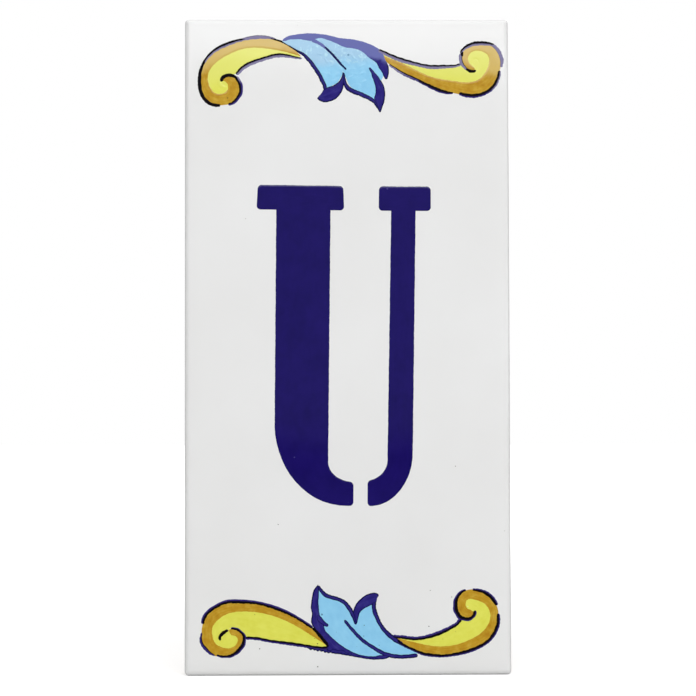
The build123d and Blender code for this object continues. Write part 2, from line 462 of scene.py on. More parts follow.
# %% [markdown]
# ## The scrolls
# A scroll has a bright yellow inside and an ochre back that wraps round its curl. A painter lays the
# yellow first and shades it after, so here the yellow field runs under the ochre one and only the
# ochre needs an exact inner edge. Each row below is a station: a point on one edge and its partner
# on the other, in millimetres across from the tile's middle and in from its short edge.

# %% Yellow fields
YELLOW_HEIGHT, POOL_HEIGHT = 0.02, 0.014

foot_long_yellow = [
    (-4.8, 6.8, -4.7, 6.4), (-9.0, 9.9, -8.6, 6.5), (-14.0, 12.6, -13.0, 7.1), (-19.0, 14.6, -18.4, 8.0),
    (-23.5, 15.2, -22.3, 8.6), (-28.0, 14.8, -23.9, 9.7), (-30.9, 12.6, -25.6, 10.7), (-31.7, 9.6, -27.6, 10.3),
    (-31.0, 7.0, -28.5, 8.8), (-28.9, 5.6, -28.2, 8.2), (-26.2, 5.4, -27.4, 8.4), (-24.6, 7.0, -26.8, 8.7),
    (-24.4, 8.9, -26.7, 9.2), (-25.3, 10.2, -26.8, 9.8), (-26.7, 10.5, -27.0, 10.3),
]
foot_short_yellow = [
    (11.0, 8.4, 11.3, 8.75), (14.8, 6.7, 15.0, 8.1), (20.3, 5.4, 19.4, 9.0), (25.0, 6.0, 23.0, 10.7),
    (29.0, 7.6, 25.3, 12.5), (32.0, 10.5, 27.2, 12.8), (33.0, 13.0, 28.6, 13.7), (32.6, 15.7, 28.7, 14.4),
    (30.8, 17.4, 28.3, 14.9), (28.0, 18.0, 27.6, 15.3), (26.0, 17.3, 27.1, 15.6), (25.6, 15.5, 27.1, 15.3),
    (26.3, 14.2, 27.3, 15.1), (27.6, 13.8, 27.7, 14.9), (28.3, 14.2, 28.2, 14.6),
]
head_long_yellow = [
    (-7.6, 8.3, -7.6, 7.6), (-10.6, 9.9, -10.6, 8.7), (-14.5, 11.9, -14.0, 9.8), (-18.5, 13.8, -18.0, 10.9),
    (-23.0, 15.2, -22.5, 11.0), (-28.0, 15.6, -26.2, 10.6), (-31.8, 14.0, -28.0, 12.0),
    (-33.6, 10.6, -29.6, 11.9), (-33.3, 7.9, -30.0, 10.2), (-31.2, 6.6, -29.8, 9.4),
    (-28.9, 6.7, -29.3, 9.3), (-27.3, 8.2, -29.0, 9.6), (-27.1, 10.0, -28.9, 10.2),
    (-28.0, 11.4, -29.2, 10.9), (-29.3, 11.7, -29.6, 11.2),
]
head_short_yellow = [
    (10.7, 8.5, 10.8, 9.0), (14.4, 6.7, 14.6, 8.2), (19.8, 5.4, 19.0, 9.2), (24.6, 5.9, 22.6, 10.7),
    (28.8, 7.6, 24.9, 12.6), (31.8, 10.6, 26.8, 13.0), (32.7, 13.2, 28.7, 13.8), (32.3, 16.0, 28.6, 14.4),
    (30.6, 18.0, 28.3, 14.9), (28.4, 18.3, 27.9, 15.2), (26.3, 17.6, 27.5, 15.5), (25.9, 15.8, 27.5, 15.3),
    (26.6, 14.5, 27.7, 15.0), (27.6, 14.0, 28.0, 14.7), (28.5, 14.1, 28.4, 14.4),
]


def pool(x, z, radius):
    """A round pool of colour in the eye of a curl, as five stations across a circle."""
    lift = radius * np.array([0.0, 0.75, 1.0, 0.75, 0.0])
    along = x + radius * np.array([-1.0, -0.66, 0.0, 0.66, 1.0])
    return np.stack([along, z + lift, along, z - lift], axis=1)


foot_pools = [pool(-27.5, 9.3, 1.6), pool(28.0, 14.7, 1.2)]
head_pools = [pool(-29.4, 10.6, 1.3), pool(28.2, 14.9, 1.1)]
yellow_parts = fields(
    [foot_long_yellow, foot_short_yellow], [head_long_yellow, head_short_yellow], [YELLOW_HEIGHT], 1)
yellow_parts += fields(foot_pools, head_pools, [POOL_HEIGHT], 5)
yellow = gather("scroll_light", yellow_parts, "scroll_yellow")

# %% Ochre backs of the scrolls
OCHRE_HEIGHT = 0.032

foot_long_ochre = [
    (-4.7, 6.6, -5.0, 6.8), (-7.0, 9.6, -7.7, 8.6), (-9.5, 11.7, -10.1, 10.1), (-13.5, 14.0, -13.6, 12.1),
    (-18.8, 16.0, -18.2, 13.75), (-23.5, 16.6, -23.2, 14.45), (-28.0, 16.6, -27.2, 13.9),
    (-31.3, 15.0, -29.3, 12.6), (-32.85, 12.0, -30.55, 11.0), (-33.1, 8.7, -30.5, 9.0),
    (-32.4, 6.2, -29.9, 7.5), (-30.1, 4.6, -28.7, 6.7), (-27.4, 4.4, -27.2, 6.35),
    (-25.0, 5.2, -25.9, 6.75), (-23.7, 7.1, -25.2, 7.6), (-23.5, 8.7, -25.1, 8.45),
    (-24.6, 10.2, -25.7, 9.0), (-26.0, 10.7, -26.5, 9.3), (-26.9, 10.5, -27.0, 10.3),
]
foot_short_ochre = [
    (10.7, 8.6, 11.2, 8.5), (13.1, 6.7, 13.6, 7.9), (16.2, 5.15, 16.6, 7.2), (20.5, 4.3, 20.2, 6.64),
    (25.0, 4.75, 24.2, 6.95), (28.8, 5.95, 27.4, 8.1), (31.6, 7.6, 29.8, 9.4), (33.4, 9.9, 31.4, 11.2),
    (34.05, 12.4, 32.05, 13.1), (33.7, 15.4, 31.6, 15.1), (32.0, 17.7, 30.4, 16.3), (29.8, 18.95, 28.8, 16.85),
    (27.7, 19.35, 27.7, 17.05), (25.6, 18.6, 26.95, 16.8), (24.4, 16.9, 26.7, 16.2), (24.3, 14.9, 26.75, 15.5),
    (25.4, 13.1, 27.2, 15.0), (27.1, 12.6, 27.8, 14.75), (28.4, 13.3, 28.2, 14.5), (28.6, 14.3, 28.5, 14.35),
]
head_long_ochre = [
    (-7.6, 8.1, -7.8, 8.2), (-9.6, 10.5, -9.9, 9.1), (-12.4, 12.2, -12.6, 10.1), (-16.0, 13.9, -16.0, 11.85),
    (-20.0, 15.8, -19.6, 13.35), (-24.3, 17.1, -24.0, 14.2), (-28.4, 17.65, -27.6, 14.5),
    (-32.0, 16.8, -30.2, 13.8), (-34.3, 14.5, -31.6, 12.2), (-35.1, 11.3, -32.35, 10.2),
    (-35.1, 8.2, -32.2, 8.6), (-33.4, 5.9, -31.2, 7.75), (-30.8, 5.6, -30.0, 7.45), (-28.4, 6.0, -28.9, 7.65),
    (-26.7, 7.4, -28.1, 8.3), (-26.1, 9.1, -27.8, 9.2), (-26.6, 10.6, -28.0, 10.0),
    (-27.9, 11.8, -28.6, 10.75), (-29.3, 11.95, -29.3, 11.3),
]
head_short_ochre = [
    (10.4, 8.7, 10.7, 8.7), (12.6, 6.7, 13.2, 8.0), (15.6, 5.2, 16.0, 7.4), (19.9, 4.25, 19.7, 6.85),
    (24.3, 4.7, 23.5, 7.1), (28.0, 6.0, 26.4, 8.1), (31.0, 8.0, 28.9, 9.55), (32.8, 10.5, 30.7, 11.2),
    (33.55, 13.2, 31.6, 13.0), (33.4, 16.0, 31.4, 15.1), (32.3, 18.2, 30.5, 16.6), (30.2, 19.7, 29.4, 17.2),
    (27.9, 19.85, 28.2, 17.1), (25.8, 19.1, 27.5, 16.6), (24.4, 17.3, 27.2, 15.9), (24.3, 15.2, 27.3, 15.2),
    (25.4, 13.4, 27.6, 14.8), (27.1, 12.9, 28.0, 14.5), (28.4, 13.5, 28.4, 14.3), (28.8, 14.1, 28.7, 14.2),
]
ochre_parts = fields(
    [foot_long_ochre, foot_short_ochre], [head_long_ochre, head_short_ochre], [OCHRE_HEIGHT], 11)
ochre = gather("scroll_shade", ochre_parts, "scroll_ochre")

# %% [markdown]
# ## The leaves
# A leaf is two pale blue blades that part at a notch. The violet shade, the folded lobe and the ribs
# are painted over them, so the blades only have to reach under the violet. At the head most of the
# enamel is thin, and its paler colour there is partly painted sheen of the light the glaze reflects.
# Two ribs there were laid with a full brush and stay dark: their share across starts past 1, which the
# finish reads.

# %% Blue blades
LEFT_BLADE_HEIGHT, RIGHT_BLADE_HEIGHT = 0.026, 0.02

foot_left_blade = [
    (-6.75, 20.1, -6.65, 20.1), (-7.2, 18.0, -5.3, 18.2), (-7.4, 16.0, -3.2, 17.3), (-7.2, 13.8, -1.1, 16.3),
    (-6.6, 11.6, 0.4, 14.8), (-6.0, 9.7, 1.2, 13.0), (-4.9, 8.0, 1.9, 11.4), (-3.0, 6.6, 2.6, 9.9),
    (-0.6, 5.3, 3.6, 8.4), (2.0, 4.5, 4.9, 7.0), (5.0, 4.1, 6.6, 5.7), (8.0, 4.1, 8.4, 4.8),
]
foot_right_blade = [
    (5.3, 16.2, 5.6, 16.3), (4.2, 15.6, 5.9, 14.8), (2.9, 14.7, 6.3, 13.3), (2.0, 13.1, 6.9, 12.0),
    (1.6, 11.4, 7.7, 10.6), (2.3, 9.9, 8.7, 9.5), (3.4, 8.4, 10.0, 8.5), (4.7, 7.0, 11.4, 7.5),
    (6.4, 5.7, 12.8, 6.6), (8.2, 4.8, 14.0, 6.0), (10.5, 4.3, 15.2, 5.4), (15.2, 4.5, 15.7, 5.0),
]
head_left_blade = [
    (-6.9, 18.9, -6.3, 18.9), (-7.2, 16.8, -3.6, 17.2), (-7.3, 15.0, -1.5, 16.3), (-8.2, 13.5, -0.3, 14.9),
    (-8.5, 11.7, 0.3, 13.4), (-7.4, 9.6, 0.9, 12.0), (-5.4, 7.8, 1.5, 10.6), (-2.8, 6.2, 2.4, 9.2),
    (0.0, 5.6, 3.4, 8.0), (2.6, 4.8, 4.7, 6.7), (5.0, 4.1, 6.1, 5.6), (8.6, 4.0, 9.0, 4.7),
]
head_right_blade = [
    (4.7, 16.0, 5.1, 16.1), (3.4, 15.4, 5.3, 14.8), (2.1, 14.6, 5.8, 13.3), (1.2, 13.2, 6.5, 11.9),
    (0.9, 11.8, 7.6, 10.7), (1.6, 10.4, 8.6, 9.5), (2.6, 9.0, 9.7, 8.5), (3.7, 7.8, 11.0, 7.7),
    (5.0, 6.6, 12.2, 7.0), (6.5, 5.5, 13.3, 6.35), (9.0, 4.6, 14.5, 5.75), (14.0, 4.6, 15.0, 5.3),
]
blue_parts = fields(
    [foot_left_blade, foot_right_blade], [head_left_blade, head_right_blade],
    [LEFT_BLADE_HEIGHT, RIGHT_BLADE_HEIGHT], 21)
blue = gather("leaf_blades", blue_parts, "leaf_blue")

# %% Violet folds
FOLD_HEIGHT = 0.04

foot_fold = [
    (-6.8, 20.55, -6.75, 20.4), (-7.8, 19.2, -6.5, 18.8), (-8.3, 17.0, -6.63, 17.0), (-8.45, 15.2, -6.5, 15.0),
    (-8.2, 13.6, -6.2, 13.4), (-8.4, 12.3, -5.6, 12.1), (-7.8, 10.9, -5.3, 11.1), (-6.4, 8.9, -5.1, 10.25),
    (-5.15, 7.3, -4.2, 9.25), (-4.75, 5.7, -2.7, 7.9), (-2.6, 4.95, -0.8, 6.5), (0.5, 4.4, 1.4, 5.25),
    (3.6, 3.8, 3.5, 4.62), (6.3, 3.6, 6.0, 4.5), (8.7, 3.85, 7.6, 4.7), (9.4, 4.2, 9.2, 4.45),
]
foot_lobe = [
    (1.4, 12.2, 2.05, 11.6), (1.05, 13.6, 2.35, 12.9), (1.25, 15.1, 2.7, 14.15), (2.1, 16.6, 3.6, 15.0),
    (3.6, 17.9, 4.6, 15.5), (5.1, 18.55, 5.6, 15.9), (6.3, 18.6, 6.45, 16.6), (6.85, 18.3, 6.6, 17.5),
    (6.95, 18.0, 6.85, 17.85),
]
head_fold = [
    (-7.7, 21.5, -7.35, 21.5), (-8.1, 20.4, -6.75, 20.2), (-8.6, 18.9, -6.1, 18.4), (-8.75, 17.2, -6.4, 16.9),
    (-8.5, 15.7, -6.3, 15.4), (-7.85, 14.3, -6.0, 14.3), (-7.1, 13.1, -5.65, 13.35), (-6.35, 12.2, -5.4, 12.5),
    (-5.65, 11.4, -5.0, 11.75), (-5.25, 11.0, -4.9, 11.25),
]
head_tongue = [
    (-9.2, 13.95, -8.75, 13.95), (-9.45, 13.3, -8.35, 13.2), (-9.6, 12.3, -7.85, 12.25),
    (-9.55, 11.2, -7.2, 11.3), (-9.0, 9.8, -6.6, 10.2), (-8.2, 7.9, -5.1, 9.2), (-6.6, 6.5, -3.6, 7.85),
    (-4.0, 5.4, -1.4, 6.9), (-1.0, 4.75, 0.6, 6.65), (1.6, 4.45, 2.4, 5.85), (4.2, 3.8, 4.6, 4.95),
    (6.6, 3.5, 6.5, 4.6), (8.6, 3.4, 8.2, 5.2), (10.3, 3.5, 10.0, 4.95), (12.3, 3.75, 12.0, 4.85),
    (13.8, 4.2, 13.4, 5.0), (14.6, 4.85, 14.3, 5.25),
    (14.75, 5.1, 14.65, 5.2),
]
head_lobe = [
    (0.45, 12.5, 1.0, 12.3), (0.45, 13.9, 1.3, 13.6), (0.75, 15.5, 1.85, 14.45), (1.3, 17.0, 2.75, 15.15),
    (2.4, 18.35, 3.75, 15.55), (4.1, 19.15, 4.75, 15.8), (5.5, 19.2, 5.45, 16.4), (6.4, 18.8, 5.8, 17.1),
    (6.8, 18.25, 6.5, 17.9),
]
violet_parts = fields([foot_fold, foot_lobe], [head_fold, head_tongue, head_lobe], [FOLD_HEIGHT], 31)
print("violet folds:", len(violet_parts))

# %% Violet ribs
RIB_HEIGHT, FULL_RIB_HEIGHT = 0.046, 0.048
RIB_HAND, RAGGED_HAND = 0.05, 0.22
FULL_BRUSH = 1.2

foot_ribs = [
    ([(-6.8, 20.3), (-6.4, 19.6), (-5.9, 18.9), (-4.9, 18.05), (-3.5, 17.55), (-2.2, 17.15), (-1.0, 16.55),
      (-0.1, 15.62), (0.7, 14.4), (1.2, 13.4), (1.5, 12.4), (1.75, 11.5)],
     [0.6, 0.95, 0.95, 1.0, 1.05, 1.0, 0.55]),
    ([(5.95, 16.6), (5.8, 15.6), (5.9, 14.65), (6.35, 13.35), (6.9, 12.1), (7.7, 10.8), (8.75, 9.6),
      (9.9, 8.6), (11.0, 7.8), (12.2, 7.0)], [0.9, 1.05, 1.0, 1.0, 1.05, 1.15, 0.9]),
    ([(-0.85, 12.55), (-0.1, 11.55), (0.96, 10.35), (2.26, 8.9), (3.74, 7.55), (5.4, 6.45), (6.9, 5.55),
      (8.4, 4.85), (9.5, 4.55), (11.0, 4.3), (12.8, 4.25), (14.2, 4.38), (15.7, 4.55)],
     [0.8, 0.85, 0.95, 1.0, 1.0, 1.0, 1.0]),
    ([(-7.0, 13.6), (-6.3, 12.6), (-5.6, 11.9), (-5.0, 11.5), (-4.45, 11.3)], [1.0, 1.3, 1.2, 1.0, 0.75]),
    ([(-9.2, 6.45), (-8.0, 6.2), (-6.5, 5.85), (-5.0, 5.55), (-3.5, 5.5), (-2.0, 5.5), (-0.5, 5.18),
      (0.9, 4.78)], [0.35, 0.76, 0.8, 0.9, 0.9, 0.84, 0.76, 0.7]),
]
head_ribs = [
    ([(-7.2, 20.7), (-6.5, 19.4), (-5.5, 18.5), (-4.1, 17.8), (-2.8, 17.2), (-1.6, 16.75), (-0.7, 16.3),
      (0.0, 15.65), (0.45, 14.8), (0.65, 13.7), (0.7, 12.5)], [0.5, 1.0, 1.05, 1.05, 1.1, 0.9, 0.45]),
    ([(5.05, 16.4), (5.05, 15.5), (5.4, 14.7), (5.95, 13.5), (6.6, 12.35), (7.35, 11.25), (8.2, 10.05),
      (9.2, 8.95), (10.1, 8.1), (11.0, 7.6), (12.2, 6.85), (13.3, 6.15)],
     [0.8, 1.0, 1.0, 0.93, 0.78, 0.52, 0.3], FULL_BRUSH),
    ([(4.6, 7.05), (5.6, 6.15), (6.7, 5.45), (8.0, 4.9)], [0.6, 0.8, 0.9, 1.0]),
    ([(0.1, 11.75), (1.25, 10.55), (2.6, 9.05), (3.9, 7.65), (5.2, 6.45)],
     [0.45, 0.62, 0.68, 0.62, 0.5], FULL_BRUSH),
]
for ribs, head in ((foot_ribs, False), (head_ribs, True)):
    for k, (line, widths, *full) in enumerate(ribs):
        hand = RAGGED_HAND if line == foot_ribs[-1][0] else RIB_HAND
        height = FULL_RIB_HEIGHT if full else RIB_HEIGHT
        seed = 40 + k + 10 * head
        violet_parts.append(stroke(lay(line, head), widths, height, seed, "right", *full, hand=hand))
violet = gather("leaf_folds", violet_parts, "leaf_violet")

# %% [markdown]
# ## The outline strokes
# The scrolls are drawn round with a loaded brush in a colour that is violet where it lies on bare
# glaze and nearly black where it lies over ochre. Each stroke names the side that lies bare, or none
# if it is dark right across, and the brush map then runs from 0 on the other side to 1 on the bare
# side for the finish to read. A number after the side is added to that share: the larger it is, the
# more of the stroke is violet. Points run along the stroke, and widths are spread evenly over it.

# %% Strokes round the scrolls at the foot
foot_strokes = [
    ([(-32.8, 11.75), (-32.74, 12.63), (-32.1, 13.88), (-31.3, 14.7), (-30.1, 15.5), (-27.58, 16.68),
      (-25.0, 16.8), (-20.92, 16.48), (-18.83, 16.06), (-15.5, 14.96), (-11.75, 13.15), (-8.83, 11.33),
      (-8.04, 10.75)], [0.7, 0.8, 0.8, 0.75, 0.75, 0.55], "left", 0.06),
    ([(-33.06, 9.81), (-33.23, 8.67), (-33.12, 7.63), (-32.5, 6.62), (-31.75, 5.75), (-30.85, 5.02),
      (-30.1, 4.65)], [0.35, 0.65, 0.65, 0.3], "right", 0.3),
    ([(-29.77, 4.79), (-28.63, 4.5), (-27.38, 4.43), (-26.23, 4.7), (-25.25, 5.28), (-24.45, 6.1),
      (-23.82, 7.0), (-23.5, 8.2), (-23.67, 9.29), (-24.35, 10.02), (-25.19, 10.58), (-26.5, 10.8)],
     [0.5, 0.55, 0.7, 0.9, 0.8, 0.6, 0.55], "right"),
    ([(-27.17, 10.44), (-28.0, 9.92), (-28.73, 9.29), (-29.04, 8.77), (-28.79, 8.08)],
     [0.5, 0.65, 0.65, 0.55], None),
    ([(-23.2, 8.56), (-21.75, 8.56), (-20.08, 8.4), (-18.42, 8.02), (-16.75, 7.72), (-12.58, 7.21),
      (-8.63, 6.56), (-5.92, 6.2), (-4.67, 6.25)], [0.55, 0.65, 0.65, 0.7, 0.7], "right", 0.1),
    ([(-8.04, 10.8), (-7.2, 10.0), (-6.3, 8.95), (-5.4, 7.85), (-4.75, 6.95), (-4.6, 6.45)],
     [0.5, 0.75, 0.8, 0.6], None),
    ([(10.1, 8.85), (11.0, 8.7), (12.2, 8.6), (13.6, 8.4), (15.1, 8.3), (17.9, 8.7), (20.8, 9.57),
      (23.6, 10.96), (24.7, 11.7), (25.5, 12.7)], [0.6, 0.75, 0.8, 0.8, 0.75], "left", 0.12),
    ([(26.7, 19.1), (26.1, 19.0), (25.4, 18.46), (24.8, 17.75), (24.4, 16.86), (24.27, 15.8), (24.3, 14.9),
      (24.7, 13.9), (25.3, 13.1), (26.1, 12.75), (27.0, 12.63), (27.8, 12.87), (28.4, 13.42), (28.75, 14.6)],
     [0.5, 0.8, 0.95, 0.9, 0.8, 0.75], "right"),
    ([(28.14, 19.2), (29.1, 19.15), (30.3, 18.9), (31.4, 18.4), (32.25, 17.75), (32.9, 17.0), (33.65, 15.7)],
     [0.6, 0.8, 0.75], "left"),
    ([(33.9, 13.9), (33.97, 12.04), (33.3, 9.95), (31.95, 7.95), (29.65, 6.4), (26.6, 5.3), (22.9, 4.52),
      (21.1, 4.38), (19.4, 4.54), (17.0, 4.9), (15.0, 5.65), (13.0, 6.55), (11.9, 7.2), (11.1, 7.9)],
     [0.7, 0.75, 0.75, 0.7, 0.65, 0.66, 0.6], "left"),
]
print("strokes at the foot:", len(foot_strokes))

# %% Strokes round the scrolls at the head
head_strokes = [
    ([(-34.86, 11.9), (-34.76, 12.8), (-34.46, 13.9), (-33.9, 15.1), (-33.2, 15.96), (-32.4, 16.6),
      (-31.3, 17.17), (-28.6, 17.72), (-27.2, 17.6), (-25.6, 17.2)], [0.6, 0.8, 0.83, 0.7], "left"),
    ([(-24.25, 17.12), (-23.0, 17.02), (-21.75, 16.74), (-18.8, 15.44), (-16.2, 14.22)],
     [0.5, 0.75, 0.75, 0.6], "left"),
    ([(-17.2, 14.65), (-15.7, 13.93), (-12.4, 12.36), (-10.9, 11.4), (-9.67, 10.6)],
     [0.5, 0.7, 0.65, 0.4], "left", 0.25),
    ([(-35.3, 11.15), (-35.42, 10.2), (-35.38, 9.3), (-35.05, 8.3), (-34.6, 7.4), (-34.0, 6.65), (-33.2, 6.05)],
     [0.5, 0.78, 0.76, 0.7, 0.6], "right", 0.6),
    ([(-34.15, 6.75), (-33.45, 6.2), (-32.6, 5.88), (-31.3, 5.74), (-29.6, 5.74), (-28.35, 6.03),
      (-27.15, 6.66), (-26.35, 7.4), (-26.05, 7.95)], [0.55, 0.82, 0.86, 0.8, 0.55], "left", 0.16),
    ([(-26.15, 8.1), (-26.02, 9.1), (-26.15, 10.0), (-26.65, 10.95), (-27.4, 11.7)],
     [0.65, 0.78, 0.75, 0.6], "right", 0.42),
    ([(-26.42, 7.55), (-26.28, 8.2), (-26.3, 8.8)], [0.6, 0.78, 0.5], None),
    ([(-27.2, 11.45), (-27.9, 11.95), (-28.6, 12.1), (-29.55, 11.95)], [0.45, 0.6, 0.6, 0.5], None),
    ([(-26.0, 10.55), (-24.7, 10.95), (-23.0, 11.05), (-18.8, 11.08), (-15.7, 10.48), (-12.4, 9.52),
      (-9.25, 8.26), (-7.2, 7.3)], [0.6, 0.83, 0.86, 0.82], "left", 0.27),
    ([(10.3, 9.2), (11.7, 8.94), (13.0, 8.7), (15.6, 8.47), (18.6, 9.12), (21.5, 10.1), (23.9, 11.5),
      (25.2, 12.9)], [0.4, 0.8, 0.85, 0.75], "left", 0.2),
    ([(27.1, 19.6), (26.3, 19.5), (25.5, 18.9), (24.8, 18.1), (24.3, 17.2), (24.15, 16.15), (24.4, 14.94),
      (24.85, 14.1), (25.45, 13.45)], [0.6, 0.8, 0.8, 0.75], "right", 0.1),
    ([(24.9, 13.95), (25.5, 13.42), (26.3, 13.1), (27.3, 13.05), (28.15, 13.45), (28.75, 14.5)],
     [0.55, 0.72, 0.75, 0.66], None),
    ([(28.9, 19.9), (30.1, 19.9), (31.25, 19.53), (32.28, 18.7), (33.35, 16.5), (33.6, 14.0), (33.25, 11.6),
      (32.4, 9.8)], [0.6, 0.72, 0.72, 0.68, 0.6], None),
    ([(32.75, 10.3), (31.4, 8.5), (29.6, 7.05), (27.3, 5.98), (25.2, 5.22), (23.2, 4.72)],
     [0.55, 0.78, 0.78, 0.74, 0.6], "right", 0.14),
    ([(24.6, 5.08), (23.0, 4.68), (21.3, 4.38), (18.6, 4.34), (16.4, 4.7)],
     [0.5, 0.7, 0.75, 0.65, 0.4], "right", 0.6),
    ([(18.2, 4.35), (16.4, 4.82), (14.6, 5.5), (13.0, 6.5), (11.6, 7.4), (10.7, 8.05)],
     [0.22, 0.36, 0.36, 0.22, 0.15, 0.12], None),
]
print("strokes at the head:", len(head_strokes))

# %% Loaded strokes and specks
BRUSH_LOAD = 1.2
VIOLET_HEIGHT, TURN_ABOUT, BLACK_HEIGHT = 0.054, 0.002, 0.06
SPECK_HAND = 0.02

dark_parts = []
for strokes, head in ((foot_strokes, False), (head_strokes, True)):
    for k, (line, widths, bare, *lean) in enumerate(strokes):
        loaded = [BRUSH_LOAD * width for width in widths]
        height = VIOLET_HEIGHT + TURN_ABOUT * (k % 2) if bare else BLACK_HEIGHT
        dark_parts.append(stroke(lay(line, head), loaded, height, 60 + k + 20 * head, bare, *lean))

foot_specks = [
    (-6.95, 7.2, 0.16), (-21.1, 13.8, 0.1), (-7.6, 8.4, 0.1), (-20.0, 6.1, 0.12), (-2.6, 9.8, 0.09),
    (3.5, 8.9, 0.12), (1.9, 6.5, 0.09), (3.6, 11.3, 0.13), (7.0, 6.8, 0.11), (18.25, 11.0, 0.12),
    (23.45, 17.6, 0.1), (18.6, 19.1, 0.09), (21.4, 8.15, 0.09), (24.3, 9.8, 0.09), (-15.8, 34.1, 0.1),
    (-6.9, 2.0, 0.14),
]
for k, (x, z, radius) in enumerate(foot_specks):
    line = [(x - radius, z), (x, z + 0.3 * radius), (x + radius, z)]
    widths = [1.4 * radius, 2 * radius, 1.2 * radius]
    dark_parts.append(stroke(lay(line, False), widths, BLACK_HEIGHT, 110 + k, hand=SPECK_HAND))
dark = gather("outline_strokes", dark_parts, "dark_outline")

# %% [markdown]
# ## The stencilled capital
# The capital is dabbed through a cut stencil, so its edges are straight runs and quarter ellipses,
# its two halves stop at the stencil's bridge, and the corners are a little rounded where the brush
# doesn't reach. Each half is a film between its outer and its inner edge, with a slab on top.

# %% Edges of the two stems
LEAN = math.radians(0.5)
STEM_ROUND, STEM_ROWS = 0.8, 210
STENCIL_HAND, STEADY_TOP = 0.035, 2.0
THICK_SLAB = {"upper": [(-20.66, 111.3), (-1.18, 111.02)], "lower": [(-20.92, 105.66), (-0.97, 105.41)]}
THIN_SLAB = {"upper": [(6.93, 110.93), (18.74, 110.85)], "lower": [(6.9, 105.34), (18.79, 105.27)]}


def upright(points):
    """Letter millimetres, up from the foot of the tile, to the face, with the stencil's slight lean."""
    points = np.array(points, float) - [0, HALF_H]
    return points + points[:, 1:] * [math.tan(LEAN), 0]


def stem_edge(slab, x_top, x_turn, turn_up, centre_x, floor, finish):
    """Straight down from the slab's lower edge to the turn, then round a quarter ellipse to the bowl's
    floor and level to the stencil's bridge."""
    way = 1 if centre_x > x_turn else -1
    (x0, z0), (x1, z1) = slab["lower"]
    top = (x_top, z0 + (z1 - z0) * (x_top - x0) / (x1 - x0))
    angle = np.linspace(0, math.pi / 2, 200)[1:]
    bowl_x = centre_x - (centre_x - x_turn) * np.cos(angle)
    bowl_z = turn_up - (turn_up - floor) * np.sin(angle)
    run = np.concatenate([
        np.linspace(top, (x_turn, turn_up), 400),
        np.stack([bowl_x, bowl_z], axis=1),
        np.linspace((centre_x, floor), (finish, floor), 20)[1:],
    ])
    return run[(run[:, 0] - finish) * way <= 1e-9]


def even_spread(points):
    """The same edge with evenly spread points, closer where its end is rounded off."""
    length = run_length(points)
    near = length[-1] - STEM_ROUND * (1 - np.cos(np.linspace(0, math.pi / 2, 9)))[::-1]
    where = np.concatenate([np.linspace(0, length[-1] - STEM_ROUND, STEM_ROWS), near[1:]])
    return np.stack([np.interp(where, length, points[:, k]) for k in range(2)], axis=1)


def round_off(one, other, radius):
    """Draws both edges in over the end so that its two corners become quarter circles."""
    length = run_length((one + other) / 2)
    left = np.clip(radius - (length[-1] - length), 0, radius)
    pull = (radius - np.sqrt(np.clip(radius**2 - left**2, 0, None)))[:, None]
    inward = (other - one) / np.hypot(*(other - one).T)[:, None]
    return one + inward * pull, other - inward * pull


def stem_edges(outer, inner, seed):
    """Outer and inner edge of one half, slightly unsteady, with the corners of its end rounded off."""
    one, other = round_off(even_spread(outer), even_spread(inner), STEM_ROUND)
    fade = np.clip(run_length(one) / STEADY_TOP, 0, 1)[:, None]
    one = one + across(one) * unsteady(run_length(one), seed, STENCIL_HAND)[:, None] * fade
    other = other + across(other) * unsteady(run_length(other), seed + 7, STENCIL_HAND)[:, None] * fade
    return one, other


thick = stem_edges(
    stem_edge(THICK_SLAB, -16.43, -16.43, 57.2, -0.1, 38.3, 1.53),
    stem_edge(THICK_SLAB, -4.06, -4.22, 48.2, 2.0, 43.65, 1.53), 81)
thin = stem_edges(
    stem_edge(THIN_SLAB, 9.74, 9.22, 48.7, 4.2, 43.95, 4.74),
    stem_edge(THIN_SLAB, 15.33, 14.96, 50.3, 5.3, 38.2, 4.74), 83)
print("thick stem:", thick[0].shape, "thin stem:", thin[0].shape)

# %% Slabs on the stems
SLAB_ROUND, SLAB_ROWS = 0.9, 44
CAPITAL_HEIGHT, CAPITAL_LIP = 0.035, 0.25


def serif_edges(slab, seed):
    """Lower and upper edge of a slab from left to right, with both ends rounded off at their corners."""
    length = slab["lower"][1][0] - slab["lower"][0][0]
    turn = SLAB_ROUND / length * (1 - np.cos(np.linspace(0, math.pi / 2, 9)))
    even = np.linspace(turn[-1], 1 - turn[-1], SLAB_ROWS)[1:-1]
    share = np.concatenate([turn, even, 1 - turn[::-1]])[:, None]
    lower, upper = (np.array(left) * (1 - share) + np.array(right) * share
                    for left, right in (slab["lower"], slab["upper"]))
    lower, upper = round_off(lower, upper, SLAB_ROUND)
    lower, upper = (e[::-1] for e in round_off(lower[::-1], upper[::-1], SLAB_ROUND))
    upper = upper + across(upper) * unsteady(share[:, 0] * length, seed, STENCIL_HAND)[:, None]
    return lower, upper


def capital_half(stem, serif):
    """Films of a stem and of its slab, which share the outline of the whole half: along the slab, down
    one edge of the stem and up the other."""
    left, right = stem
    lower, upper = serif
    before, after = lower[lower[:, 0] < left[0, 0]], lower[lower[:, 0] > right[0, 0]]
    shared = upright(np.concatenate([before[::-1], upper, after[::-1], right, left[::-1]]))
    return [film(upright(one), upright(other), CAPITAL_HEIGHT, CAPITAL_LIP, rows=rows, outline=shared)
            for one, other, rows in ((left, right, 17), (lower, upper, 15))]


capital_films = capital_half(thick, serif_edges(THICK_SLAB, 85))
capital_films += capital_half(thin, serif_edges(THIN_SLAB, 87))
capital = gather("stencilled_capital", capital_films, "letter")
